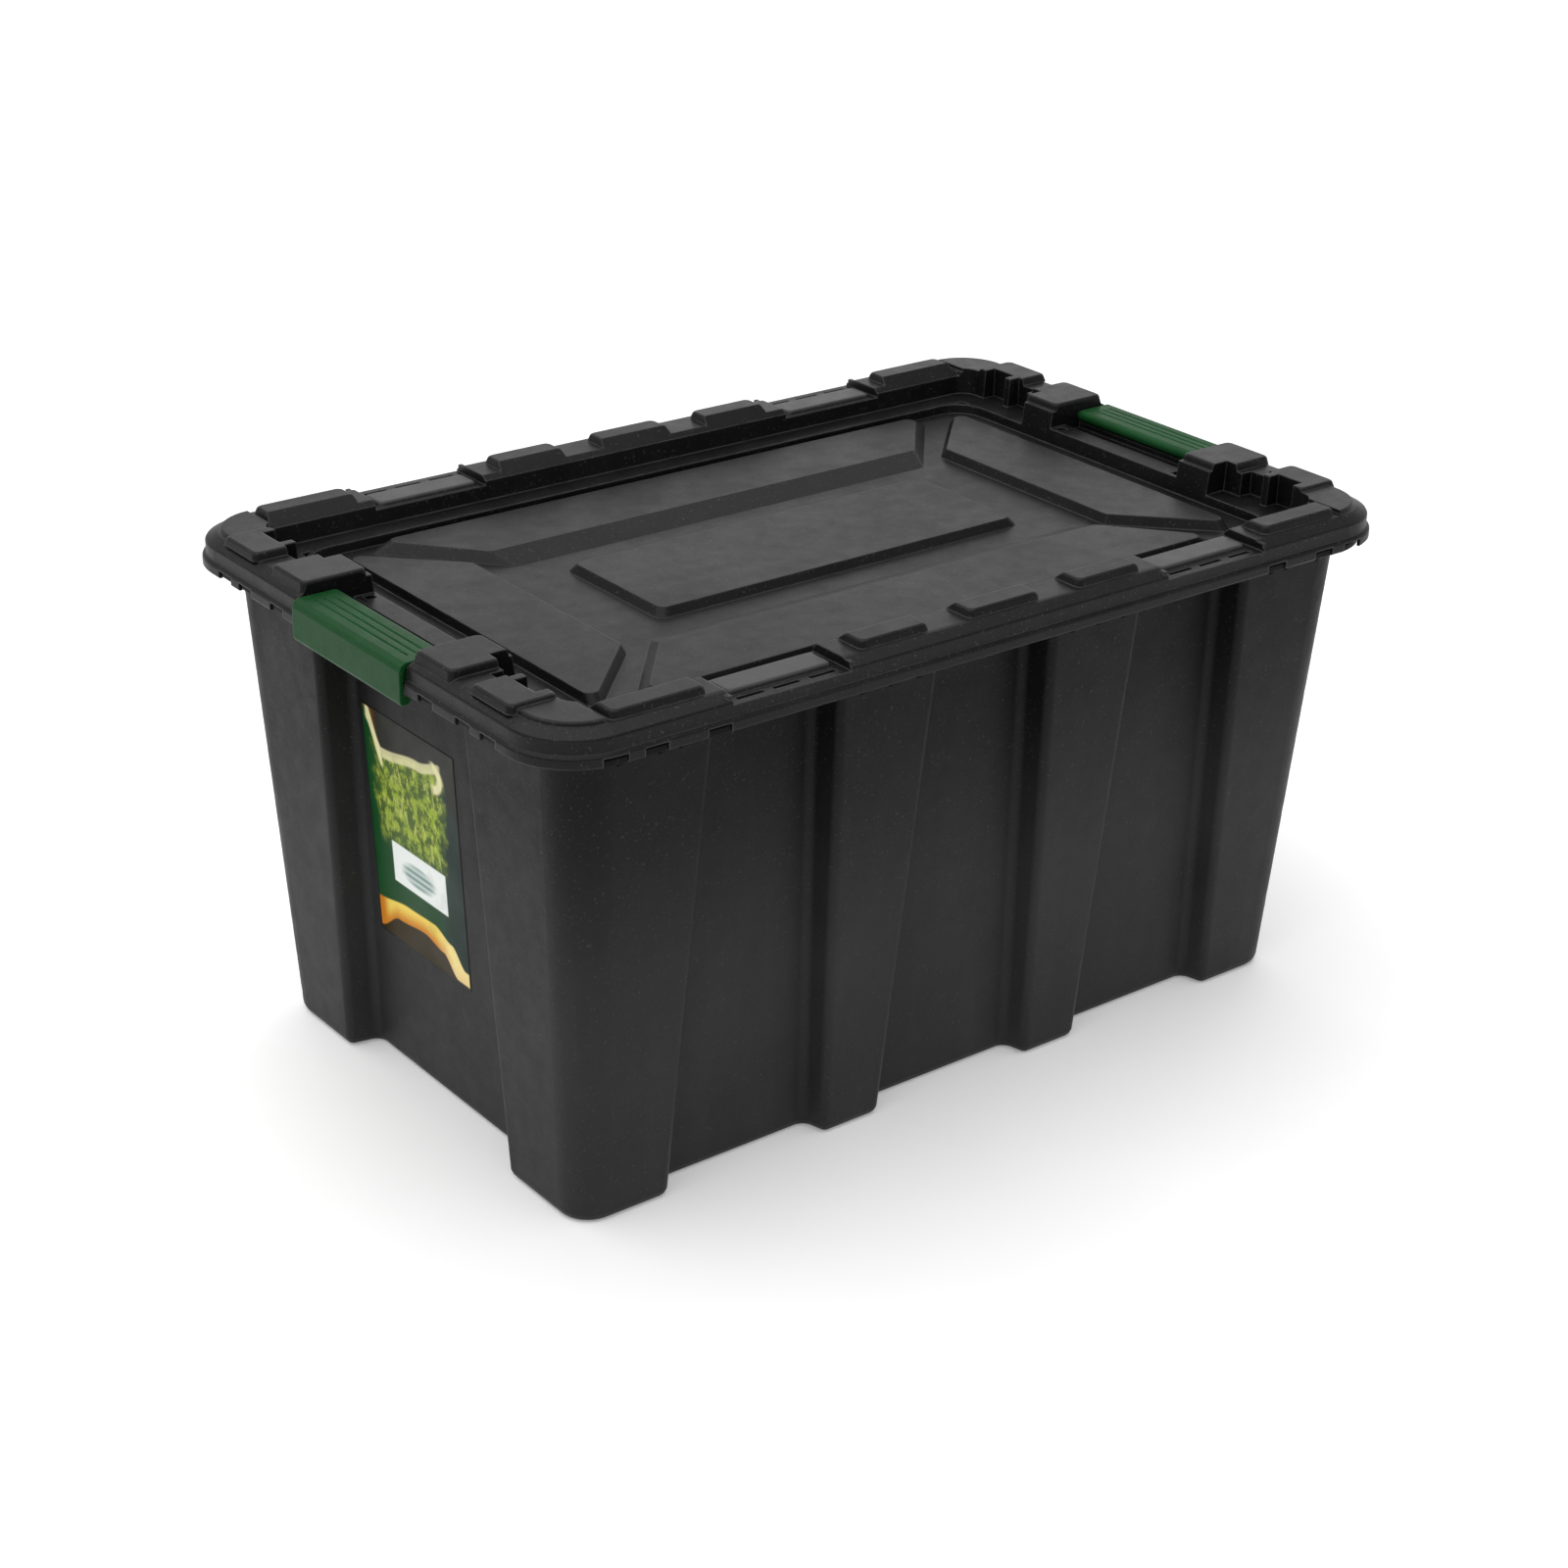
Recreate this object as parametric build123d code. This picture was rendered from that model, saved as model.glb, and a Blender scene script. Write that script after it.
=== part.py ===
from build123d import *
import os

# A stackable storage tote: a drafted tub with stepped side walls, a relief-moulded lid that
# lifts off, and two snap latches that hinge on the lid's short sides and wrap the tub's flange.
# Millimetres. X is the long way, Y the short way, Z up, origin at the bottom centre of the tub.

os.makedirs("parts", exist_ok=True)

# ---------------------------------------------------------------- driving dimensions
WALL = 2.8                  # moulded wall of the tub
LID_WALL = 2.6              # moulded wall of the lid

# tub: half sizes at the foot (z = 0) and at WALL_REF_Z, everything between is straight
WALL_REF_Z = 296.0
FOOT_HALF_X, FOOT_HALF_Y = 272.0, 161.6
TOP_HALF_X, TOP_HALF_Y = 288.2, 183.3
FOOT_CORNER_R, TOP_CORNER_R = 20.0, 28.0

# recesses between the columns of the long walls: edges at the foot and at the top
CORNER_COLUMN_X = (211.0, 196.0)
MID_COLUMN_OUT_X = (99.0, 112.0)
MID_COLUMN_IN_X = (58.0, 42.0)
LONG_RECESS_DEPTH = (15.5, 20.0)
# the single recess of each short wall
CORNER_COLUMN_Y = (90.0, 78.0)
SHORT_RECESS_DEPTH = (19.5, 21.0)
COLUMN_FLANK = 4.0          # how far a column's flank spreads over the recess depth
COLUMN_EDGE_R = 5.5         # rounded outer edge of a column
RECESS_CORNER_R = 6.0       # rounded inner corner of a recess

FOOT_RING_Z = 4.0           # the floor stands this far above the ground
FLOOR_TOP_Z = 7.0
FOOT_RING_INSET = 14.0
GRID_X = (-150.0, -75.0, 0.0, 75.0, 150.0)               # low ribs under the floor
GRID_Y = (-62.0, 0.0, 62.0)
GRID_RIB_THICK = 3.0
GRID_LOW_Z = 1.0
FLANGE_TOP_Z = 300.0
FLANGE_THICK = 2.6
FLANGE_HALF_X, FLANGE_HALF_Y, FLANGE_R = 303.5, 193.5, 36.0
FLANGE_LIP_Z = 295.0
LIP_THICK = 2.4
GUSSET_THICK = 2.4
GUSSET_FOOT_Z = 289.0
GUSSETS_X = (57.0, 77.0, 97.0, 218.0, 231.0, 257.5)
GUSSETS_Y = (94.0, 104.0, 129.0, 153.0)
OVERLAP = 0.6               # how far joined solids run into one another

# lid
LID_HALF_X, LID_HALF_Y, LID_R = 310.0, 200.0, 42.0      # round the flared bead of the skirt
LEDGE_INSET = 2.2           # the skirt's upper wall stands this far inside the bead
SKIRT_Z = 298.5             # bottom edge of the skirt
BEAD_TOP_Z = 304.4
SHOULDER_Z = 314.3          # top of the skirt's upper wall
SHOULDER_WIDTH = 8.3        # sloping shoulder between that wall and the ledge
LEDGE_Z = 318.0             # flat ledge round the rim
RIM_TOP_Z = 322.6           # pads and blocks on the rim
WELL_Z = 297.0              # floor of the sunk middle
PLATEAU_Z = 303.0
PANEL_Z = 302.0
PANEL_FOOT, PANEL_TOP = (136.0, 48.0), (132.0, 44.0)    # half sizes of the middle panel
# mitred plateaus: far and near edge, then half length of each, at the foot and at the top
LONG_FIELD_FOOT, LONG_FIELD_TOP = (142.0, 69.0, 220.0, 157.0), (139.0, 86.0, 208.0, 163.0)
SHORT_FIELD_FOOT, SHORT_FIELD_TOP = (238.0, 179.0, 137.0, 78.0), (237.0, 182.0, 131.0, 76.0)
FIELD_R = 5.0
LID_RIBS_X, LID_RIBS_Y = (-168.0, -84.0, 84.0, 168.0), (-58.0, 58.0)
LID_RIB_HALF_X, LID_RIB_HALF_Y = 240.0, 138.0
LID_RIB_DEEP, LID_RIB_THICK = 7.0, 2.2
STOPS_X = (40.0, 79.0, 108.0, 202.0, 240.0)             # stops that stand on the flange
STOPS_Y = (90.0, 122.0, 150.0)
STOP_THICK = 2.4
STOP_END_Y = 188.0
STOP_IN_X, STOP_OUT_X = 284.0, 298.0
BASIN_FOOT_X, BASIN_FOOT_Y = 256.5, 147.0
BASIN_RIM_X, BASIN_RIM_Y = 260.0, 149.0
BASIN_R = 20.0
PAD_IN_Y, PAD_OUT_Y = 162.0, 188.6
RIM_SLOPE_LOW_Y, RIM_SLOPE_LOW_Z = 164.4, 315.2         # sloping inner edge of the long rims
RIM_SLOPE_HIGH_Y = 173.0
PADS_X = ((0.0, 26.5), (79.0, 24.5), (235.0, 30.5))     # middle and half length of each pad
SADDLE_X, SADDLE_HALF = 156.0, 39.0                     # lowered part of each long rim
SADDLE_Z = 312.4
SADDLE_PAD_IN_Y, SADDLE_PAD_OUT_Y = 166.0, 187.5        # smooth low pad on each saddle
SADDLE_PAD_HIGH = 2.6
DRAINS_X = (-24.0, 0.0, 24.0)                           # slots along each saddle, from its middle
DRAIN_HALF = 9.0
DRAIN_IN_Y, DRAIN_OUT_Y = 190.0, 193.0
HOLLOW_MARGIN = 4.0         # from a pad's outline to the hollow below it
STACK_Z = 303.0             # shelf and pocket floors, level with the plateaus
UNDER_Z = 300.4             # underside of the thin plates that pass over the tub's flange
SKIRT_NOTCHES_X = (205.0, 245.0, 270.0)
SKIRT_NOTCHES_Y = (80.0, 117.0, 141.0)
SKIRT_NOTCH_HALF = 7.5
SKIRT_NOTCH_TOP_Z = 303.6
NOTCH_DEEP = 4.0

# shelves and corner pockets that take the feet of the tote above
SHELF_END_X = 240.0
POCKET_OUT_X = 273.0
POCKET_LOW_Y, POCKET_HIGH_Y = 87.0, 163.4
POCKET_R = 12.0
TOOTH_END_X = 282.4
TOOTH_GAPS_Y = ((101.0, 119.0), (124.0, 144.0))

# short rims: a low strip by the latch, then two blocks towards each corner
STRIP_Z = 307.0
STRIP_HOLE_X, STRIP_HOLE_HALF, STRIP_HOLE_INSET = 264.0, 3.0, 5.0
STRIP_OUT_X = 298.0         # outside it the rim is open for the latch
GROOVE_IN_X, GROOVE_OUT_X = 271.5, 284.5               # groove between strip and latch
BLOCK_OUT_X = 304.2
CORNER_PAD_Z = 320.4
BLOCK_A_END_Y = 97.0
BLOCK_B_LOW_Y, BLOCK_B_HIGH_Y = 114.0, 153.0

# latches
LATCH_HALF_Y = 57.5
NOTCH_HALF_Y = 59.5
HINGE_X, HINGE_Z = 284.6, 311.8
BARREL_R = 3.6
TRUNNION_R = 2.5
RUNNING_GAP = 0.05
TRUNNION_END_Y = 64.0
SOCKET_END_Y = 64.7
BOSS_END_Y = 67.2
LATCH_OUT_X = 312.0
LATCH_PLATE = 2.8
LATCH_LOW_Z = 291.0
LATCH_RIBS_Y = (-54.0, -36.0, -18.0, 0.0, 18.0, 36.0, 54.0)
LATCH_RIB_THICK = 2.0
GRIPS_X = (290.5, 296.0, 301.5)
GRIP_WIDE, GRIP_DEEP, GRIP_INSET = 2.0, 0.7, 8.0

# label on the left short wall
LABEL_MIDDLE_Y, LABEL_HALF_Y = 19.5, 50.0
LABEL_LOW_Z, LABEL_HIGH_Z = 88.0, 238.0
LABEL_THICK = 0.3


# ---------------------------------------------------------------- helpers
def between(pair, z):
    """A dimension given at the foot and at WALL_REF_Z, taken at height z."""
    return pair[0] + (pair[1] - pair[0]) * z / WALL_REF_Z


def block(x0, x1, y0, y1, z0, z1):
    """An upright box between two corners."""
    middle = Pos((x0 + x1) / 2, (y0 + y1) / 2, (z0 + z1) / 2)
    return middle * Box(abs(x1 - x0), abs(y1 - y0), abs(z1 - z0))


def tower(*sections):
    """Straight-sided stack through rounded rectangles (half x, half y, corner radius, z)."""
    faces = [
        (Pos(0, 0, z) * RectangleRounded(2 * hx, 2 * hy, r)).face()
        for hx, hy, r, z in sections
    ]
    return loft(faces, ruled=True)


def frustum(low, high, z0, z1, low_r, high_r):
    """A raised field: one rounded polygon at z0, another at z1, straight between."""
    faces = []
    for points, z, r in ((low, z0, low_r), (high, z1, high_r)):
        raised = [(x, y, z) for x, y in points]
        faces.append(make_face(FilletPolyline(*raised, radius=r, close=True)).face())
    return loft(faces, ruled=True)


def pad(x0, x1, y0, y1, z0, z1, slope=1.1, r=3.5, edge=1.5):
    """A raised rectangular pad: sides that lean in by slope, and a rounded top edge."""
    faces = []
    for inset, z in ((0.0, z0), (slope, z1 - edge), (slope + 0.35 * edge, z1 - 0.35 * edge),
                     (slope + edge, z1)):
        outline = RectangleRounded(x1 - x0 - 2 * inset, y1 - y0 - 2 * inset, r)
        faces.append((Pos((x0 + x1) / 2, (y0 + y1) / 2, z) * outline).face())
    return loft(faces, ruled=True)


def four_ways(shape):
    """The shape and its mirror images in the two upright planes."""
    pair = shape + mirror(shape, Plane.YZ)
    return pair + mirror(pair, Plane.XZ)


# ---------------------------------------------------------------- tub
def wall_outline(z, inset):
    """The stepped plan outline of the tub wall at height z, moved inwards by inset."""
    hx = between((FOOT_HALF_X, TOP_HALF_X), z) - inset
    hy = between((FOOT_HALF_Y, TOP_HALF_Y), z) - inset
    corner_r = between((FOOT_CORNER_R, TOP_CORNER_R), z) - inset
    edge_r = max(COLUMN_EDGE_R - inset, 0.8)
    inner_r = RECESS_CORNER_R + inset
    column_x = between(CORNER_COLUMN_X, z) + inset
    mid_out = between(MID_COLUMN_OUT_X, z) - inset
    mid_in = between(MID_COLUMN_IN_X, z) + inset
    deep_y = hy - between(LONG_RECESS_DEPTH, z)
    column_y = between(CORNER_COLUMN_Y, z) + inset
    deep_x = hx - between(SHORT_RECESS_DEPTH, z)
    f = COLUMN_FLANK

    # a quarter, from the middle of the long wall round the corner to the short wall
    quarter = [
        (mid_in - f, deep_y, inner_r),
        (mid_in, hy, edge_r),
        (mid_out, hy, edge_r),
        (mid_out + f, deep_y, inner_r),
        (column_x - f, deep_y, inner_r),
        (column_x, hy, edge_r),
        (hx, hy, corner_r),
        (hx, column_y, edge_r),
        (deep_x, column_y - f, inner_r),
    ]
    ring = list(quarter)
    ring += [(x, -y, r) for x, y, r in reversed(quarter)]
    ring += [(-x, -y, r) for x, y, r in quarter]
    ring += [(-x, y, r) for x, y, r in reversed(quarter)]
    points = [(x, y, z) for x, y, r in ring]
    radii = [r for x, y, r in ring]
    return make_face(FilletPolyline(*points, radius=radii, close=True)).face()


def tub_outside():
    levels = ((0.0, 4.6), (0.9, 2.4), (2.6, 0.9), (5.2, 0.0), (FLANGE_TOP_Z, 0.0))
    return loft([wall_outline(z, inset) for z, inset in levels], ruled=True)


def make_tub():
    """The drafted, stepped wall and the floor of the tub."""
    levels = ((FLOOR_TOP_Z, 4.5), (8.2, 2.0), (10.5, 0.5), (13.0, 0.0), (FLANGE_TOP_Z + 1, 0.0))
    inside = loft([wall_outline(z, WALL + more) for z, more in levels], ruled=True)
    shell = tub_outside() - inside

    # sunk underside inside the foot ring, with a grid of low ribs
    foot_x = FOOT_HALF_X - SHORT_RECESS_DEPTH[0] - FOOT_RING_INSET
    foot_y = FOOT_HALF_Y - LONG_RECESS_DEPTH[0] - FOOT_RING_INSET
    sunk = tower((foot_x, foot_y, 16, -1), (foot_x - 2, foot_y - 2, 14, FOOT_RING_Z))
    half = GRID_RIB_THICK / 2
    high = FOOT_RING_Z + OVERLAP
    grid = [block(x - half, x + half, -foot_y, foot_y, GRID_LOW_Z, high) for x in GRID_X]
    grid += [block(-foot_x, foot_x, y - half, y + half, GRID_LOW_Z, high) for y in GRID_Y]
    return shell - sunk + grid


def make_tub_rim():
    """The flange round the tub's mouth, with its lip and the gussets below it."""
    def ring(inset, z):
        return (FLANGE_HALF_X - inset, FLANGE_HALF_Y - inset, FLANGE_R - inset, z)

    plate_z = FLANGE_TOP_Z - FLANGE_THICK
    flange = tower(ring(0.8, FLANGE_LIP_Z), ring(0.0, FLANGE_LIP_Z + 0.8),
                   ring(0.0, FLANGE_TOP_Z - 1.0), ring(1.0, FLANGE_TOP_Z))
    under_flange = tower(ring(LIP_THICK, FLANGE_LIP_Z - 1), ring(LIP_THICK, plate_z))

    def gusset(wall_half, flange_half, plane):
        inner = wall_half - WALL
        lip = flange_half - LIP_THICK + OVERLAP
        side = Polyline(
            (inner, GUSSET_FOOT_Z),
            (inner, plate_z + OVERLAP),
            (lip, plate_z + OVERLAP),
            (lip, FLANGE_LIP_Z + 0.8),
            (inner + WALL + OVERLAP, GUSSET_FOOT_Z),
            close=True,
        )
        return extrude(plane * make_face(side), GUSSET_THICK / 2, both=True)

    long_gusset = gusset(TOP_HALF_Y, FLANGE_HALF_Y, Plane.YZ)
    short_gusset = gusset(TOP_HALF_X, FLANGE_HALF_X, Plane.XZ)
    gussets = [Pos(x, 0, 0) * long_gusset for x in GUSSETS_X]
    gussets += [Pos(0, y, 0) * short_gusset for y in GUSSETS_Y]
    rim = (flange - under_flange) + four_ways(Part() + gussets) - tub_outside()

    # stored as four lengths that meet face to face: the two ends and the two long sides
    cut_x = TOP_HALF_X - SHORT_RECESS_DEPTH[1] - 2
    far = FLANGE_HALF_X + 1
    low, high = GUSSET_FOOT_Z - 1, FLANGE_TOP_Z + 1
    lengths = [
        rim & block(cut_x, far, -far, far, low, high),
        rim & block(-far, -cut_x, -far, far, low, high),
        rim & block(-cut_x, cut_x, 0, far, low, high),
        rim & block(-cut_x, cut_x, -far, 0, low, high),
    ]
    return Compound([solid for length in lengths for solid in length.solids()])


# ---------------------------------------------------------------- lid
def basin(grow, z_low, z_high):
    """The sunk middle of the lid, grown outwards by grow, from z_low to z_high."""
    def at(z):
        t = (z - WELL_Z) / (RIM_TOP_Z - WELL_Z)
        hx = BASIN_FOOT_X + (BASIN_RIM_X - BASIN_FOOT_X) * t + grow
        hy = BASIN_FOOT_Y + (BASIN_RIM_Y - BASIN_FOOT_Y) * t + grow
        return (hx, hy, BASIN_R + grow, z)
    return tower(at(z_low), at(z_high))


def mitred(foot, top, inset, z_top, turned):
    """A mitred plateau; turned puts it on the +X side, otherwise it is on the +Y side."""
    corners = []
    for far, near, far_half, near_half in (foot, top):
        far, near = far - inset, near + inset
        far_half, near_half = far_half - 2 * inset, near_half - inset
        ring = [(-far_half, far), (far_half, far), (near_half, near), (-near_half, near)]
        corners.append([(y, -x) for x, y in ring] if turned else ring)
    z_low = WELL_Z - (4 if inset else 0)
    return frustum(corners[0], corners[1], z_low, z_top, FIELD_R, FIELD_R)


def all_fields(inset, drop):
    """The four plateaus and the middle panel, walls moved in by inset, tops lowered by drop."""
    z_low = WELL_Z - (4 if inset else 0)
    long_side = mitred(LONG_FIELD_FOOT, LONG_FIELD_TOP, inset, PLATEAU_Z - drop, False)
    short_side = mitred(SHORT_FIELD_FOOT, SHORT_FIELD_TOP, inset, PLATEAU_Z - drop, True)
    panel = tower(
        (PANEL_FOOT[0] - inset, PANEL_FOOT[1] - inset, FIELD_R + 1, z_low),
        (PANEL_TOP[0] - inset, PANEL_TOP[1] - inset, FIELD_R, PANEL_Z - drop),
    )
    return [long_side, mirror(long_side, Plane.XZ), short_side, mirror(short_side, Plane.YZ), panel]


def skirt_ring(inset, z):
    return (LID_HALF_X - inset, LID_HALF_Y - inset, LID_R - inset, z)


def make_lid():
    wall = LID_WALL
    ledge = LEDGE_INSET
    # outside: flared bead, upper wall, rounded shoulder, ledge
    body = tower(
        skirt_ring(0.8, SKIRT_Z),
        skirt_ring(0.0, SKIRT_Z + 0.9),
        skirt_ring(0.0, BEAD_TOP_Z - 0.6),
        skirt_ring(0.5, BEAD_TOP_Z + 0.4),
        skirt_ring(ledge, BEAD_TOP_Z + 1.6),
        skirt_ring(ledge, SHOULDER_Z - 1.2),
        skirt_ring(ledge + 0.8, SHOULDER_Z),
        skirt_ring(ledge + SHOULDER_WIDTH - 1.0, LEDGE_Z - 0.3),
        skirt_ring(ledge + SHOULDER_WIDTH + 1.0, LEDGE_Z),
    )
    channel = tower(
        skirt_ring(wall, SKIRT_Z - 1),
        skirt_ring(wall, BEAD_TOP_Z - 1.2),
        skirt_ring(wall + ledge, BEAD_TOP_Z + 0.6),
        skirt_ring(wall + ledge, SHOULDER_Z - wall),
        skirt_ring(wall + ledge + SHOULDER_WIDTH, LEDGE_Z - wall),
    )
    lid = body - channel + basin(wall, WELL_Z - wall, LEDGE_Z)

    # pads of the long rims, hollow underneath
    raised = [pad(x - half, x + half, PAD_IN_Y, PAD_OUT_Y, LEDGE_Z - 0.5, RIM_TOP_Z)
              for x, half in PADS_X]
    hollow_low = LEDGE_Z - wall - 1
    m = HOLLOW_MARGIN
    hollows = [block(x - half + m, x + half - m, RIM_SLOPE_HIGH_Y + 2, PAD_OUT_Y - m,
                     hollow_low, RIM_TOP_Z - wall) for x, half in PADS_X]

    # two blocks on each half of a short rim, and a raised corner
    raised += [pad(BASIN_RIM_X + 1, BLOCK_OUT_X, NOTCH_HALF_Y - 1.1, BLOCK_A_END_Y,
                   LEDGE_Z - 2.0, RIM_TOP_Z)]
    raised += [pad(POCKET_OUT_X - 1, BLOCK_OUT_X, BLOCK_B_LOW_Y, BLOCK_B_HIGH_Y,
                   LEDGE_Z - 0.5, RIM_TOP_Z)]
    hollows += [block(TOOTH_END_X + 2 * wall, BLOCK_OUT_X - m, y0 + m, y1 - m, hollow_low,
                      RIM_TOP_Z - wall)
                for y0, y1 in ((BOSS_END_Y, BLOCK_A_END_Y), (BLOCK_B_LOW_Y, BLOCK_B_HIGH_Y))]
    corner_box = block(POCKET_OUT_X - m, LID_HALF_X, BLOCK_B_HIGH_Y - m, LID_HALF_Y,
                       UNDER_Z, RIM_TOP_Z + 1)
    raised += [corner_box & tower(
        skirt_ring(ledge + SHOULDER_WIDTH, LEDGE_Z - 0.5),
        skirt_ring(ledge + SHOULDER_WIDTH + 1.0, CORNER_PAD_Z - 0.6),
        skirt_ring(ledge + SHOULDER_WIDTH + 2.0, CORNER_PAD_Z),
    )]
    lid = lid + four_ways(Part() + raised) - four_ways(Part() + hollows)

    # walls and floors of the notches, the shelves, the pockets and the saddles
    saddle_in = SADDLE_X - SADDLE_HALF
    saddle_out = SADDLE_X + SADDLE_HALF
    boxes = [block(BASIN_FOOT_X, STRIP_OUT_X + wall, 0, NOTCH_HALF_Y + wall, STRIP_Z - wall,
                   LEDGE_Z)]
    boxes += [block(GROOVE_IN_X - wall, GROOVE_OUT_X + wall, 0, NOTCH_HALF_Y + wall,
                    UNDER_Z, STRIP_Z)]
    boxes += [block(BASIN_FOOT_X, TOOTH_END_X + wall, POCKET_LOW_Y - wall,
                    POCKET_HIGH_Y + wall, UNDER_Z, LEDGE_Z)]
    boxes += [block(-1, BASIN_FOOT_X, BASIN_FOOT_Y, POCKET_HIGH_Y + 2 * wall, UNDER_Z, LEDGE_Z)]
    boxes += [block(saddle_in - wall, saddle_out + wall, BASIN_FOOT_Y, LID_HALF_Y - 4,
                    SADDLE_Z - wall, LEDGE_Z - 1)]
    boss = TRUNNION_R + 3.5
    boxes += [block(HINGE_X - boss, HINGE_X + boss, NOTCH_HALF_Y, BOSS_END_Y, STRIP_Z - wall,
                    LEDGE_Z)]
    shelf_hollow = block(-1, BASIN_FOOT_X, POCKET_HIGH_Y + wall + 1, POCKET_HIGH_Y + 2 * wall + 2,
                         UNDER_Z - 1, SADDLE_Z - wall)
    lid = lid + four_ways(Part() + boxes) - four_ways(shelf_hollow)

    above = RIM_TOP_Z + 1
    cuts = [block(saddle_in, saddle_out, BASIN_FOOT_Y, LID_HALF_Y + 5, SADDLE_Z, above)]
    cuts += [block(BASIN_FOOT_X, LID_HALF_X + 5, -1, NOTCH_HALF_Y, STRIP_Z, above)]
    cuts += [block(STRIP_OUT_X, LID_HALF_X + 5, -1, NOTCH_HALF_Y, SKIRT_Z - 2, above)]
    cuts += [block(GROOVE_IN_X, GROOVE_OUT_X, -1, NOTCH_HALF_Y, STACK_Z, above)]
    cuts += [block(POCKET_OUT_X - 1, TOOTH_END_X, y0, y1, STACK_Z, above)
             for y0, y1 in TOOTH_GAPS_Y]
    pockets = tower((POCKET_OUT_X, POCKET_HIGH_Y, POCKET_R, STACK_Z),
                    (POCKET_OUT_X + 1.2, POCKET_HIGH_Y + 1.2, POCKET_R, above))
    cuts += [pockets & (block(-1, SHELF_END_X, -1, 180, 300, above)
                        + block(SHELF_END_X - 1, 290, POCKET_LOW_Y, 180, 300, above))]
    # sloping inner edge of the long rims
    slope = (above - RIM_SLOPE_LOW_Z) / (RIM_TOP_Z - RIM_SLOPE_LOW_Z)
    high_y = RIM_SLOPE_LOW_Y + (RIM_SLOPE_HIGH_Y - RIM_SLOPE_LOW_Y) * slope
    wedge = Polyline(
        (RIM_SLOPE_LOW_Y, RIM_SLOPE_LOW_Z),
        (high_y, above),
        (RIM_SLOPE_LOW_Y - 6, above),
        (RIM_SLOPE_LOW_Y - 6, RIM_SLOPE_LOW_Z),
        close=True,
    )
    cuts += [extrude(Plane.YZ * make_face(wedge), POCKET_OUT_X - 6)]
    # drain slots along the outer edge of each saddle, a hole at each end of the strip
    cuts += [block(SADDLE_X + x - DRAIN_HALF, SADDLE_X + x + DRAIN_HALF, DRAIN_IN_Y, DRAIN_OUT_Y,
                   SADDLE_Z - wall - 1, above) for x in DRAINS_X]
    half = STRIP_HOLE_HALF
    hole_y = NOTCH_HALF_Y - STRIP_HOLE_INSET
    cuts += [block(STRIP_HOLE_X - half, STRIP_HOLE_X + half, hole_y - half, hole_y + half,
                   STRIP_Z - wall - 1, above)]
    # notches in the lower edge of the skirt
    half = SKIRT_NOTCH_HALF
    cuts += [block(x - half, x + half, LID_HALF_Y - NOTCH_DEEP, LID_HALF_Y + 2, SKIRT_Z - 1,
                   SKIRT_NOTCH_TOP_Z) for x in SKIRT_NOTCHES_X]
    cuts += [block(LID_HALF_X - NOTCH_DEEP, LID_HALF_X + 2, y - half, y + half, SKIRT_Z - 1,
                   SKIRT_NOTCH_TOP_Z) for y in SKIRT_NOTCHES_Y]
    lid = lid - four_ways(Part() + cuts) - basin(0.0, WELL_Z, RIM_TOP_Z + 1)

    # smooth low pads on the saddles
    low_pad = pad(saddle_in + 3, saddle_out - 3, SADDLE_PAD_IN_Y, SADDLE_PAD_OUT_Y,
                  SADDLE_Z - 0.5, SADDLE_Z + SADDLE_PAD_HIGH)
    lid = lid + four_ways(low_pad)

    # fields of the sunk middle, each hollow underneath
    lid = lid + all_fields(0, 0) - all_fields(wall, wall)

    # stiffening ribs under the middle
    low = WELL_Z - wall - LID_RIB_DEEP
    high = WELL_Z - wall + OVERLAP
    half = LID_RIB_THICK / 2
    ribs = [block(x - half, x + half, -LID_RIB_HALF_Y, LID_RIB_HALF_Y, low, high)
            for x in LID_RIBS_X]
    ribs += [block(-LID_RIB_HALF_X, LID_RIB_HALF_X, y - half, y + half, low, high)
             for y in LID_RIBS_Y]
    lid = lid + ribs

    # stops that stand on the tub's flange
    stop_top = LEDGE_Z - wall + OVERLAP
    half = STOP_THICK / 2
    stops = [block(x - half, x + half, POCKET_HIGH_Y + wall, STOP_END_Y, FLANGE_TOP_Z, stop_top)
             for x in STOPS_X]
    stops += [block(STOP_IN_X, STOP_OUT_X, y - half, y + half, FLANGE_TOP_Z, stop_top)
              for y in STOPS_Y]
    lid = lid + four_ways(Part() + stops)

    # snap sockets for the latches' trunnions
    depth = SOCKET_END_Y - NOTCH_HALF_Y
    socket = Cylinder(TRUNNION_R + RUNNING_GAP, depth + 1.0, rotation=(90, 0, 0))
    return lid - four_ways(Pos(HINGE_X, NOTCH_HALF_Y + depth / 2 - 0.5, HINGE_Z) * socket)


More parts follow.
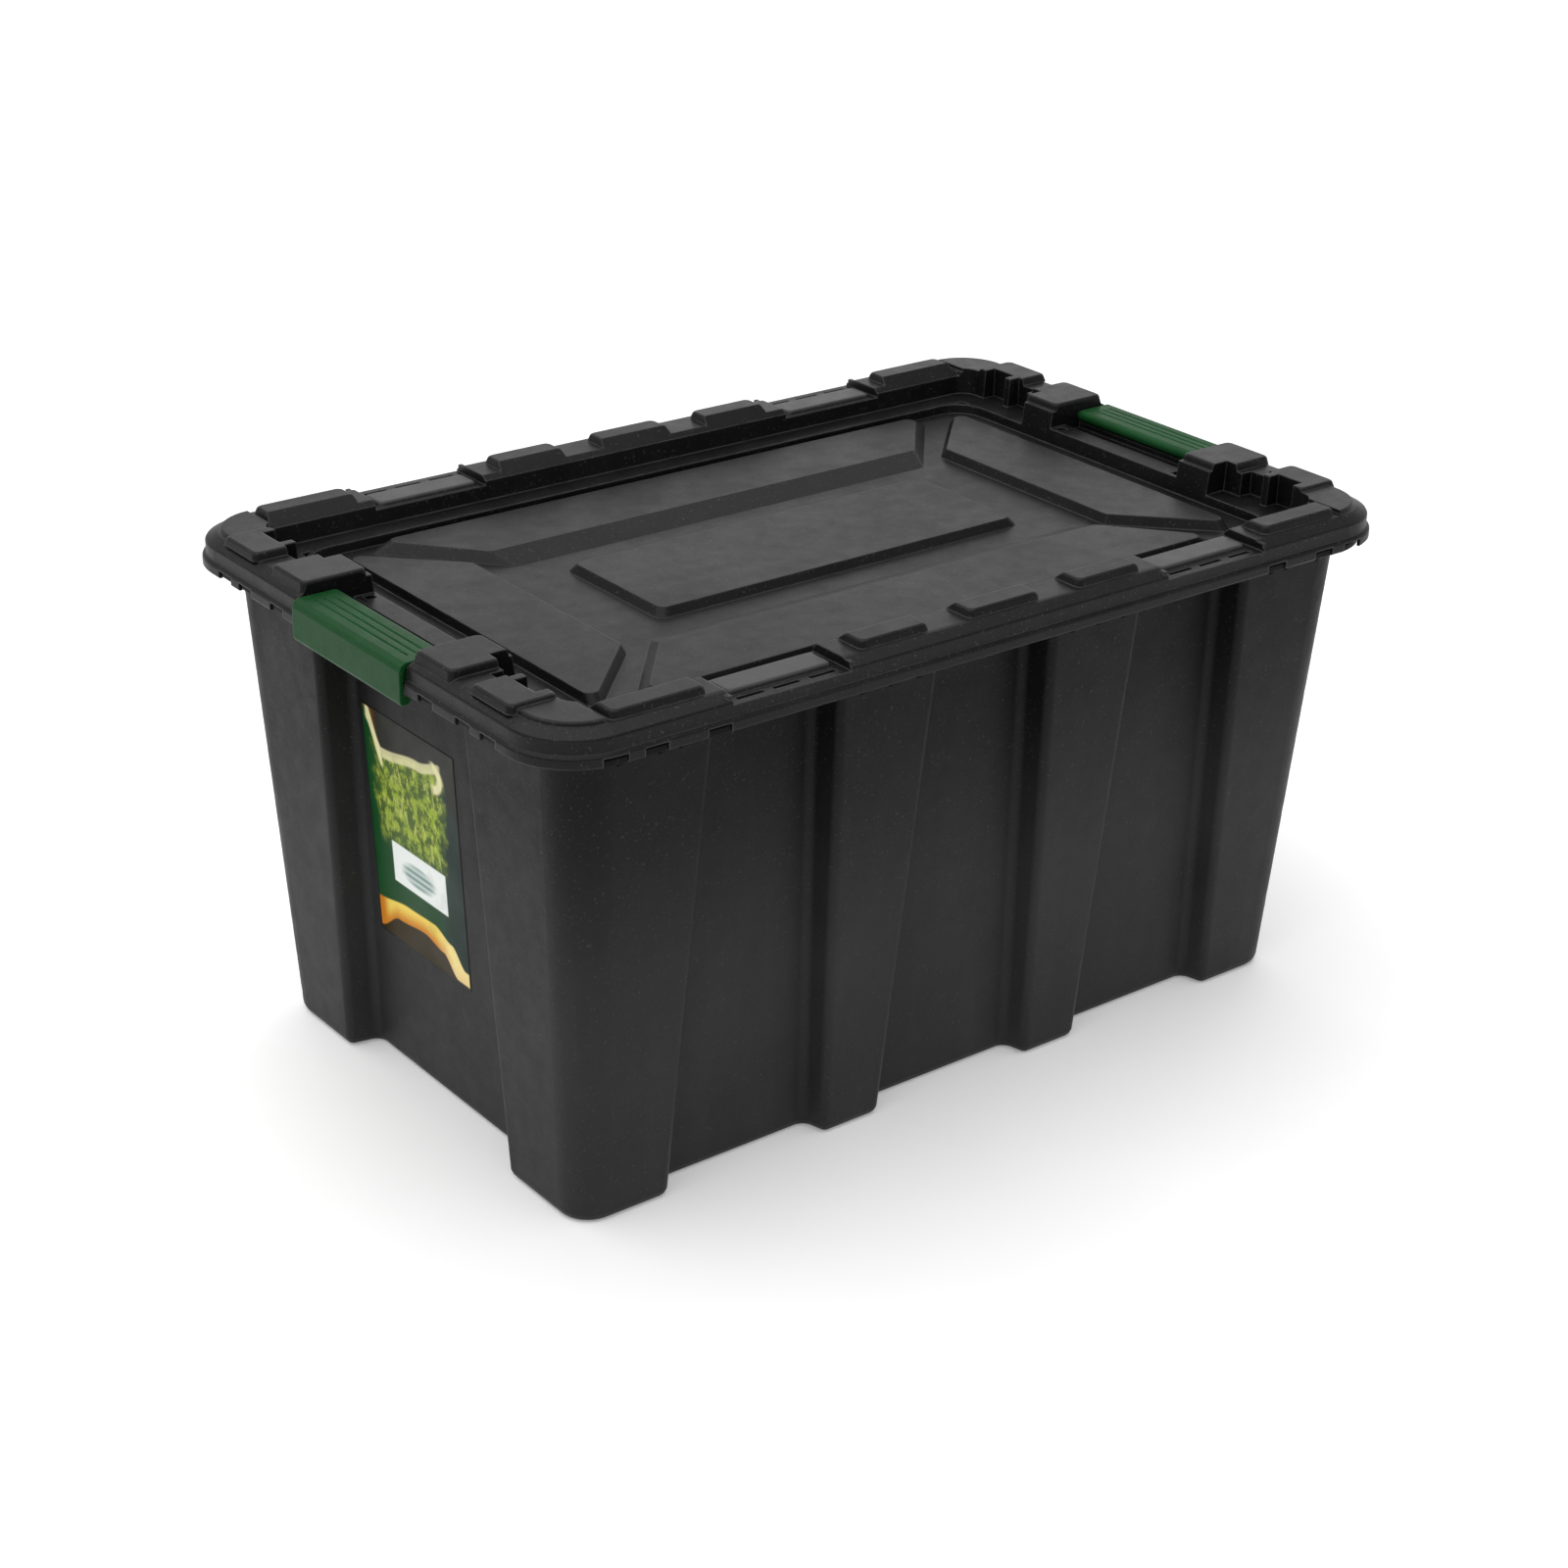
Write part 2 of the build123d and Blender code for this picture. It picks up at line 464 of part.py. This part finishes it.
# ---------------------------------------------------------------- latch
def make_latch():
    """The latch of the +X side, closed: a clip round the edge of the rim."""
    out = LATCH_OUT_X
    top = HINGE_Z + BARREL_R
    t = LATCH_PLATE
    profile = Polyline(
        (HINGE_X, top),
        (out - 4.5, top),
        (out - 1.4, top - 1.4),
        (out, top - 4.5),
        (out, LATCH_LOW_Z + 2.0),
        (out - 1.2, LATCH_LOW_Z),
        (out - t - 2.6, LATCH_LOW_Z + 0.4),
        (out - t - 4.4, LATCH_LOW_Z + 2.6),
        (out - t, LATCH_LOW_Z + 6.0),
        (out - t, top - 5.2),
        (out - t - 1.6, top - t),
        (HINGE_X, top - t),
        close=True,
    )
    clip = extrude(Plane.XZ * make_face(profile), LATCH_HALF_Y, both=True)
    barrel = Pos(HINGE_X, 0, HINGE_Z) * Cylinder(
        BARREL_R, 2 * LATCH_HALF_Y, rotation=(90, 0, 0))
    trunnions = Pos(HINGE_X, 0, HINGE_Z) * Cylinder(
        TRUNNION_R, 2 * TRUNNION_END_Y, rotation=(90, 0, 0))

    # ribs inside the clip and a grip groove outside
    rib_side = Polyline(
        (HINGE_X + 1.0, top - t + 0.4),
        (HINGE_X + 1.0, HINGE_Z - 2.0),
        (out - t - 5.0, HINGE_Z - 2.0),
        (out - t - 3.6, LATCH_LOW_Z + 13.0),
        (out - t + 0.4, LATCH_LOW_Z + 11.0),
        (out - t + 0.4, top - t + 0.4),
        close=True,
    )
    rib = extrude(Plane.XZ * make_face(rib_side), LATCH_RIB_THICK / 2, both=True)
    ribs = [Pos(0, y, 0) * rib for y in LATCH_RIBS_Y]
    latch = clip + barrel + trunnions + ribs

    # three shallow grooves along the top, as a grip
    half = GRIP_WIDE / 2
    end = LATCH_HALF_Y - GRIP_INSET
    for x in GRIPS_X:
        latch = latch - block(x - half, x + half, -end, end, top - GRIP_DEEP, top + 1)
    return latch


# ---------------------------------------------------------------- label
def make_label():
    """A thin sticker lying on the floor of the left wall's recess."""
    def wall_x(z):
        hx = between((FOOT_HALF_X, TOP_HALF_X), z)
        return -(hx - between(SHORT_RECESS_DEPTH, z))

    side = Polyline(
        (wall_x(LABEL_LOW_Z), LABEL_LOW_Z),
        (wall_x(LABEL_HIGH_Z), LABEL_HIGH_Z),
        (wall_x(LABEL_HIGH_Z) - LABEL_THICK, LABEL_HIGH_Z),
        (wall_x(LABEL_LOW_Z) - LABEL_THICK, LABEL_LOW_Z),
        close=True,
    )
    return Pos(0, LABEL_MIDDLE_Y, 0) * extrude(Plane.XZ * make_face(side), LABEL_HALF_Y, both=True)


nodes = {
    "tub": make_tub(),
    "tub_rim": make_tub_rim(),
    "lid": make_lid(),
    "latch_right": make_latch(),
    "latch_left": mirror(make_latch(), Plane.YZ),
    "label": make_label(),
}

for name, shape in nodes.items():
    export_step(shape, "parts/" + name + ".step")
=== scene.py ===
import math

import bpy
from mathutils import Matrix, Vector

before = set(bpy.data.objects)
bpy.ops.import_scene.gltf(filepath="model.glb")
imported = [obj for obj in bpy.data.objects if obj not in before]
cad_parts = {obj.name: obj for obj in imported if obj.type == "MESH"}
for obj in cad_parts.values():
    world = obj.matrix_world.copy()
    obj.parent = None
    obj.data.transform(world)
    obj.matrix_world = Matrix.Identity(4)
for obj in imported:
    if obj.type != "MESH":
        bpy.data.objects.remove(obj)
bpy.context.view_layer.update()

scene = bpy.context.scene

# ------------------------------------------------------------------ named values (metres, watts)
CAMERA_AZIMUTH, CAMERA_ELEVATION, CAMERA_ROLL = -37.96, 25.01, 1.02      # degrees
CAMERA_AIM = (0.0, 0.0, 0.150)
CAMERA_ASIDE, CAMERA_ABOVE, CAMERA_DISTANCE = -0.0058, -0.00968, 1.86848
CAMERA_LENS, SENSOR_WIDTH = 68.79, 36.0                                  # millimetres
CLIP_NEAR, CLIP_FAR = 0.05, 60.0

GRAIN_EDGE = 0.0016                          # width of the paler edges of the plastic: wear and painted highlight
SOFT_EDGE = 0.0012                           # radius that rounds the plastic's edges in shading
SHADE_LOW_Z, SHADE_HIGH_Z = 0.100, 0.285       # the tub is palest below, darkest above: painted shade under the lid's overhang
SHADED = (0.0012, 0.0012, 0.0012)
SADDLE_X = ((0.116, 0.124), (0.196, 0.188))  # where the saddle pads' painted highlight begins and ends, fading
SADDLE_Y = ((0.163, 0.167), (0.189, 0.186))
SADDLE_Z = (0.3130, 0.3146)

LABEL_LEFT_Y = 0.0695                        # the sticker's left edge, seen from outside
MILLIMETRES = 1000.0                         # the sticker's picture is laid out in millimetres
LABEL_SIDES, LABEL_ENDS = (0.9, 99.1), (88.9, 237.1)
LEAVES_A, LEAVES_Z = (12.0, 82.0), (158.0, 224.0)
PANEL_A, PANEL_Z = (22.0, 81.0), (129.5, 156.0)
MOTIF_CENTRE, MOTIF_HALF = (50.0, 141.0), (21.0, 9.0)
HOOK_CENTRE, HOOK_REACH = (76.0, 217.0), (4.5, 10.0)
TOP_LINE = ((0.0, 236.0), (20.0, 212.0), (60.0, 219.0), (86.0, 224.0), (92.0, 200.0))
STREAK_LINE = ((3.0, 236.0), (20.0, 208.0))
SAG_LINE = ((20.0, 212.0), (60.0, 218.0), (84.0, 224.0))
SWEEP_HIGH = ((0.0, 111.0), (36.0, 116.0), (64.0, 117.0), (82.0, 111.0), (96.0, 99.0))
SWEEP_LOW = ((0.0, 91.0), (23.0, 103.0), (52.0, 106.0), (72.0, 102.0), (87.0, 90.0))

FLOOR_SIZE = 40.0
FLOOR_GLOW = 0.22                            # keeps the floor white and its shadows faint
SKY_FADE_Z, SKY_STRENGTH = (0.05, 0.45), (0.95, 0.40)


# ------------------------------------------------------------------ camera
def make_camera():
    """The camera of the product shot: azimuth, elevation, roll and distance from the tub's middle."""
    azimuth, elevation, roll = (math.radians(a) for a in (CAMERA_AZIMUTH, CAMERA_ELEVATION,
                                                           CAMERA_ROLL))
    back = Vector((math.sin(azimuth) * math.cos(elevation),
                   -math.cos(azimuth) * math.cos(elevation), math.sin(elevation)))
    level = Vector((0, 0, 1)).cross(back).normalized()
    upward = back.cross(level)
    right = math.cos(roll) * level + math.sin(roll) * upward
    up = -math.sin(roll) * level + math.cos(roll) * upward
    data = bpy.data.cameras.new("camera")
    data.lens, data.sensor_width = CAMERA_LENS, SENSOR_WIDTH
    data.clip_start, data.clip_end = CLIP_NEAR, CLIP_FAR
    camera = bpy.data.objects.new("camera", data)
    spot = (Vector(CAMERA_AIM) + right * CAMERA_ASIDE + up * CAMERA_ABOVE
            + back * CAMERA_DISTANCE)
    turn = Matrix((right, up, back)).transposed().to_4x4()
    camera.matrix_world = Matrix.Translation(spot) @ turn
    scene.collection.objects.link(camera)
    scene.camera = camera


# ------------------------------------------------------------------ node helpers
class Nodes:
    """Short names for building one material's node tree."""

    def __init__(self, name):
        self.material = bpy.data.materials.new(name)
        self.material.use_nodes = True
        self.tree = self.material.node_tree
        self.tree.nodes.clear()
        self.out = self.add("ShaderNodeOutputMaterial")
        self.shader = self.add("ShaderNodeBsdfPrincipled")
        self.link(self.shader.outputs[0], self.out.inputs[0])
        self.place = self.add("ShaderNodeTexCoord").outputs["Object"]

    def add(self, kind, **values):
        node = self.tree.nodes.new(kind)
        for key, value in values.items():
            setattr(node, key, value)
        return node

    def link(self, a, b):
        self.tree.links.new(a, b)

    def feed(self, socket, value):
        if hasattr(value, "is_output"):
            self.link(value, socket)
        else:
            socket.default_value = value

    def math(self, operation, *values, clamp=False):
        node = self.add("ShaderNodeMath", operation=operation, use_clamp=clamp)
        for socket, value in zip(node.inputs, values):
            self.feed(socket, value)
        return node.outputs[0]

    def remap(self, value, low, high, to_low=0.0, to_high=1.0):
        node = self.add("ShaderNodeMapRange", interpolation_type="SMOOTHSTEP")
        for socket, v in zip(node.inputs, (value, low, high, to_low, to_high)):
            self.feed(socket, v)
        return node.outputs[0]

    def noise(self, scale, detail=4.0, rough=0.55, stretch=None):
        node = self.add("ShaderNodeTexNoise")
        node.inputs["Scale"].default_value = scale
        node.inputs["Detail"].default_value = detail
        node.inputs["Roughness"].default_value = rough
        where = self.place
        if stretch:
            mapping = self.add("ShaderNodeMapping")
            mapping.inputs["Scale"].default_value = stretch
            self.link(where, mapping.inputs["Vector"])
            where = mapping.outputs[0]
        self.link(where, node.inputs["Vector"])
        return node.outputs["Fac"]

    def mix(self, factor, a, b):
        node = self.add("ShaderNodeMix", data_type="RGBA")
        self.feed(node.inputs["Factor"], factor)
        self.feed(node.inputs["A"], a)
        self.feed(node.inputs["B"], b)
        return node.outputs["Result"]

    def edge_mask(self, radius):
        """1 on sharp edges, 0 on flat ground: how far the rounded normal turns from the true one."""
        bevel = self.add("ShaderNodeBevel", samples=6)
        bevel.inputs["Radius"].default_value = radius
        true = self.add("ShaderNodeNewGeometry").outputs["Normal"]
        dot = self.add("ShaderNodeVectorMath", operation="DOT_PRODUCT")
        self.link(bevel.outputs[0], dot.inputs[0])
        self.link(true, dot.inputs[1])
        return self.remap(dot.outputs["Value"], 0.995, 0.80)

    def rounded_bump(self, radius, *layers):
        """Bump layers (height, strength, distance) on top of softly rounded edges."""
        bevel = self.add("ShaderNodeBevel", samples=6)
        bevel.inputs["Radius"].default_value = radius
        normal = bevel.outputs[0]
        for height, strength, distance in layers:
            bump = self.add("ShaderNodeBump")
            bump.inputs["Strength"].default_value = strength
            bump.inputs["Distance"].default_value = distance
            self.link(height, bump.inputs["Height"])
            self.link(normal, bump.inputs["Normal"])
            normal = bump.outputs[0]
        self.link(normal, self.shader.inputs["Normal"])


def rgba(r, g, b):
    return (r, g, b, 1.0)


# ------------------------------------------------------------------ materials
def moulded_plastic(name, base, pale, wear_and_highlight_colour, rough, grain=1.0, ior=1.33, painted_top_shade=False,
                    saddle_highlight=False):
    """Moulded polypropylene: fine spark-eroded grain, cloudy colour, scuffs and paler edges, the
    edges partly wear and partly painted highlight.

    The shade flag darkens the tub towards the top, painted shade under the lid's overhang.  The
    saddle flag makes the pads of the rim's saddles a little paler, a painted highlight.
    """
    n = Nodes(name)
    cloud = n.noise(9.0, 5.0, 0.6)
    streak = n.noise(30.0, 4.0, 0.6, stretch=(1.0, 1.0, 0.12))
    speck = n.noise(620.0, 2.0, 0.5)
    scuff = n.noise(70.0, 6.0, 0.7)
    blend = n.math("ADD", n.math("MULTIPLY", n.remap(cloud, 0.35, 0.68), 0.6),
                   n.math("MULTIPLY", n.remap(streak, 0.40, 0.70), 0.4))
    colour = n.mix(blend, rgba(*base), rgba(*pale))
    axes = n.add("ShaderNodeSeparateXYZ")
    n.link(n.place, axes.inputs[0])
    # painted shade: the tub darkens towards the top, standing in for the shade under the lid's
    # overhang
    if painted_top_shade:
        dark = n.remap(axes.outputs["Z"], SHADE_LOW_Z, SHADE_HIGH_Z, 0.0, 0.92)
        colour = n.mix(dark, colour, rgba(*SHADED))
    dust = n.math("MULTIPLY", n.remap(speck, 0.62, 0.74), 0.35)
    colour = n.mix(dust, colour, rgba(*wear_and_highlight_colour))
    # paler edges: partly wear, partly painted highlight along the edges
    edge = n.edge_mask(GRAIN_EDGE)
    wear_and_highlight = n.math("MULTIPLY", edge, n.remap(scuff, 0.30, 0.62, 0.35, 1.0))
    # painted highlight: the glossy strips on the rim's saddle pads, lightened in colour
    if saddle_highlight:
        saddle_highlight_patch = n.remap(axes.outputs["Z"], *SADDLE_Z)
        for axis, limits in (("X", SADDLE_X), ("Y", SADDLE_Y)):
            away = n.math("ABSOLUTE", axes.outputs[axis])
            for fade in limits:
                saddle_highlight_patch = n.math("MULTIPLY", saddle_highlight_patch, n.remap(away, *fade))
        saddle_highlight_patch = n.math("MULTIPLY", saddle_highlight_patch, n.remap(cloud, 0.2, 0.7, 0.35, 0.65))
        wear_and_highlight = n.math("MAXIMUM", wear_and_highlight, saddle_highlight_patch)
    colour = n.mix(n.math("MULTIPLY", wear_and_highlight, 0.80), colour, rgba(*wear_and_highlight_colour))
    n.link(colour, n.shader.inputs["Base Color"])
    low, high = rough
    roughness = n.remap(n.math("ADD", n.math("MULTIPLY", cloud, 0.5),
                               n.math("MULTIPLY", scuff, 0.5)), 0.35, 0.65, low, high)
    n.link(roughness, n.shader.inputs["Roughness"])
    n.shader.inputs["IOR"].default_value = ior
    n.rounded_bump(SOFT_EDGE,
                   (n.noise(900.0, 3.0, 0.6), 0.10 * grain, 0.0006),
                   (n.noise(45.0, 3.0, 0.5), 0.10, 0.002))
    return n.material


def label_material():
    """A printed film sticker: leafy green ground, cream crest, white panel, gold sweep, no words."""
    n = Nodes("printed_film")
    axes = n.add("ShaderNodeSeparateXYZ")
    n.link(n.place, axes.inputs[0])
    # millimetres from the left edge, as read from outside, and above the ground
    a = n.math("MULTIPLY", n.math("SUBTRACT", LABEL_LEFT_Y, axes.outputs["Y"]), MILLIMETRES)
    z = n.math("MULTIPLY", axes.outputs["Z"], MILLIMETRES)
    wobble = n.math("SUBTRACT", n.noise(70.0, 3.0, 0.5), 0.5)

    def times(*values):
        result = values[0]
        for value in values[1:]:
            result = n.math("MULTIPLY", result, value)
        return result

    def shifted(value, step):
        """A plain number or a socket, plus a plain number."""
        return n.math("ADD", value, step) if hasattr(value, "is_output") else value + step

    def within(value, low, high, soft):
        """1 between low and high, 0 outside, each end faded over twice soft."""
        return times(n.remap(value, shifted(low, -soft), shifted(low, soft)),
                     n.remap(value, shifted(high, soft), shifted(high, -soft)))

    def curve(*points):
        """A smooth height over a, through (a, z) points, as a chain of eased steps."""
        height = points[0][1]
        for (a0, z0), (a1, z1) in zip(points, points[1:]):
            height = n.math("ADD", n.remap(a, a0, a1, 0.0, z1 - z0), height)
        return height

    def stripe(line, half, soft=0.8):
        """A band of constant height along a line."""
        return within(z, shifted(line, -half), shifted(line, half), soft)

    # ground: dark green below, leafy in the upper middle, nearly black at the right and top
    ground = n.mix(n.remap(a, 60.0, 92.0), rgba(0.004, 0.060, 0.012), rgba(0.003, 0.018, 0.014))
    leaf_noise = n.noise(150.0, 5.0, 0.65)
    leaf = n.mix(n.remap(leaf_noise, 0.42, 0.60), rgba(0.060, 0.110, 0.008), rgba(0.30, 0.40, 0.030))
    blades = n.noise(200.0, 3.0, 0.6, stretch=(1.0, 1.6, 0.6))
    leaf = n.mix(times(n.remap(blades, 0.52, 0.66), 0.7), leaf, rgba(0.55, 0.60, 0.14))
    shaken = n.math("ADD", a, times(wobble, 26.0))
    leafy = times(within(shaken, *LEAVES_A, 5.0), within(z, *LEAVES_Z, 9.0))
    colour = n.mix(leafy, ground, leaf)
    over = n.remap(n.math("SUBTRACT", z, curve(*TOP_LINE)), -1.0, 1.0)
    dark_top = n.mix(n.remap(a, 8.0, 18.0), rgba(0.13, 0.050, 0.006), rgba(0.013, 0.013, 0.008))
    colour = n.mix(over, colour, dark_top)
    # cream crest: a steep streak, a long sag and a hook at the right
    cream = rgba(0.80, 0.76, 0.42)
    streak = times(stripe(curve(*STREAK_LINE), 6.5, 2.0), within(a, 4.0, 19.0, 1.5))
    sag = times(stripe(curve(*SAG_LINE), 3.2), within(a, 18.0, 84.0, 2.0))
    hook_a = n.math("SUBTRACT", a, HOOK_CENTRE[0])
    hook_z = n.math("SUBTRACT", z, HOOK_CENTRE[1])
    reach = n.math("SQRT", n.math("ADD", times(hook_a, hook_a), times(hook_z, hook_z)))
    hook = times(within(reach, *HOOK_REACH, 1.2), n.remap(hook_a, -4.0, 2.0))
    crest = n.math("MAXIMUM", n.math("MAXIMUM", streak, times(sag, 0.75)), hook)
    colour = n.mix(crest, colour, cream)
    # gold sweep
    above_low = n.math("SUBTRACT", z, curve(*SWEEP_LOW))
    below_high = n.math("SUBTRACT", curve(*SWEEP_HIGH), z)
    gold = times(n.remap(above_low, -0.8, 0.8), n.remap(below_high, -0.8, 0.8))
    rise = n.remap(above_low, 0.0, 11.0)
    tone = n.mix(rise, rgba(0.62, 0.22, 0.008), rgba(0.88, 0.66, 0.11))
    tone = n.mix(n.remap(a, 4.0, 14.0), rgba(0.60, 0.20, 0.010), tone)
    tone = n.mix(n.remap(a, 62.0, 86.0, 0.0, 0.7), tone, rgba(0.92, 0.78, 0.38))
    under = n.math("SUBTRACT", 1.0, n.remap(above_low, -0.8, 0.8))
    colour = n.mix(under, colour, rgba(0.030, 0.019, 0.003))
    colour = n.mix(gold, colour, tone)
    # white panel with a soft grey-green motif
    panel = times(within(a, *PANEL_A, 0.6), within(z, *PANEL_Z, 0.6))
    motif_a = n.math("DIVIDE", n.math("SUBTRACT", a, MOTIF_CENTRE[0]), MOTIF_HALF[0])
    motif_z = n.math("DIVIDE", n.math("SUBTRACT", z, MOTIF_CENTRE[1]), MOTIF_HALF[1])
    motif = n.remap(n.math("ADD", times(motif_a, motif_a), times(motif_z, motif_z)), 1.0, 0.3)
    bars = n.remap(n.math("SINE", times(z, 1.5)), -0.2, 0.4)
    white = n.mix(times(motif, n.math("ADD", times(bars, 0.5), 0.5)), rgba(0.84, 0.88, 0.85),
                  rgba(0.20, 0.31, 0.28))
    colour = n.mix(panel, colour, white)
    # thin dark border and a little ink mottle
    inside = times(within(a, *LABEL_SIDES, 0.4), within(z, *LABEL_ENDS, 0.4))
    colour = n.mix(inside, rgba(0.008, 0.012, 0.008), colour)
    colour = n.mix(n.remap(n.noise(60.0, 5.0, 0.6), 0.50, 0.75, 0.0, 0.16), colour,
                   rgba(0.02, 0.03, 0.02))
    n.link(colour, n.shader.inputs["Base Color"])
    n.link(n.remap(n.noise(40.0), 0.3, 0.7, 0.30, 0.44), n.shader.inputs["Roughness"])
    n.shader.inputs["IOR"].default_value = 1.22
    n.rounded_bump(0.0003, (n.noise(120.0, 3.0, 0.5), 0.12, 0.0008))
    return n.material


def dress(node, material):
    """Gives a CAD node the material and smooth shading."""
    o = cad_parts[node]
    o.data.materials.clear()
    o.data.materials.append(material)
    for face in o.data.polygons:
        face.use_smooth = True


# ------------------------------------------------------------------ studio
def area_light(name, spot, aim, size, power):
    """A rectangular softbox at spot, facing aim."""
    data = bpy.data.lights.new(name, "AREA")
    data.shape, data.size, data.size_y = "RECTANGLE", size[0], size[1]
    data.energy = power
    light = bpy.data.objects.new(name, data)
    light.location = spot
    light.rotation_mode = "QUATERNION"
    light.rotation_quaternion = (Vector(aim) - Vector(spot)).to_track_quat("-Z", "Y")
    scene.collection.objects.link(light)


def make_studio():
    """A plain pale floor, a soft world and two softboxes."""
    bpy.ops.mesh.primitive_plane_add(size=FLOOR_SIZE, location=(0, 0, 0))
    floor = bpy.context.object
    floor.name = "floor"
    n = Nodes("floor_paint")
    colour = n.mix(n.remap(n.noise(3.0), 0.3, 0.7), rgba(0.86, 0.86, 0.86), rgba(0.90, 0.90, 0.90))
    n.link(colour, n.shader.inputs["Base Color"])
    n.shader.inputs["Roughness"].default_value = 0.9
    n.shader.inputs["Emission Color"].default_value = rgba(1.0, 1.0, 1.0)
    n.shader.inputs["Emission Strength"].default_value = FLOOR_GLOW
    floor.data.materials.append(n.material)

    world = bpy.data.worlds.new("studio")
    world.use_nodes = True
    tree = world.node_tree
    tree.nodes["Background"].inputs["Color"].default_value = rgba(1.0, 1.0, 1.0)
    # bright near the horizon, dimmer overhead
    split = tree.nodes.new("ShaderNodeSeparateXYZ")
    tree.links.new(tree.nodes.new("ShaderNodeTexCoord").outputs["Generated"], split.inputs[0])
    fade = tree.nodes.new("ShaderNodeMapRange")
    for socket, value in zip(list(fade.inputs)[1:5], SKY_FADE_Z + SKY_STRENGTH):
        socket.default_value = value
    tree.links.new(split.outputs["Z"], fade.inputs["Value"])
    tree.links.new(fade.outputs[0], tree.nodes["Background"].inputs["Strength"])
    scene.world = world
    area_light("overhead", (-0.5, 0.3, 3.4), (0, 0, 0), (5.0, 5.0), 145.0)
    area_light("sheen", (2.1, 2.7, 1.6), (0, 0, 0.3), (4.2, 2.2), 21.0)
    scene.view_settings.view_transform = "Standard"
    scene.view_settings.look = "None"


make_camera()
charcoal = moulded_plastic("charcoal_polypropylene", (0.021, 0.021, 0.0213),
                           (0.031, 0.031, 0.0312), (0.070, 0.070, 0.0695), (0.42, 0.56),
                           ior=1.23, painted_top_shade=True)
lid_grey = moulded_plastic("charcoal_polypropylene_lid", (0.0040, 0.0040, 0.0042),
                           (0.0080, 0.0080, 0.0082), (0.095, 0.095, 0.094), (0.34, 0.46),
                           ior=1.26, saddle_highlight=True)
green = moulded_plastic("green_polypropylene", (0.003, 0.042, 0.008), (0.006, 0.062, 0.015),
                        (0.030, 0.14, 0.050), (0.42, 0.54), 0.6, 1.22)
# painted shade: the rim is the tub's own plastic, given a much darker copy for the shade under the
# lid
shaded_rim = moulded_plastic("charcoal_polypropylene_rim_painted_shade", (0.0020, 0.0020, 0.0021),
                           (0.0040, 0.0040, 0.0041), (0.020, 0.020, 0.0198), (0.50, 0.62),
                           ior=1.20)
dress("tub", charcoal)
dress("tub_rim", shaded_rim)
dress("lid", lid_grey)
dress("latch_left", green)
dress("latch_right", green)
dress("label", label_material())
make_studio()
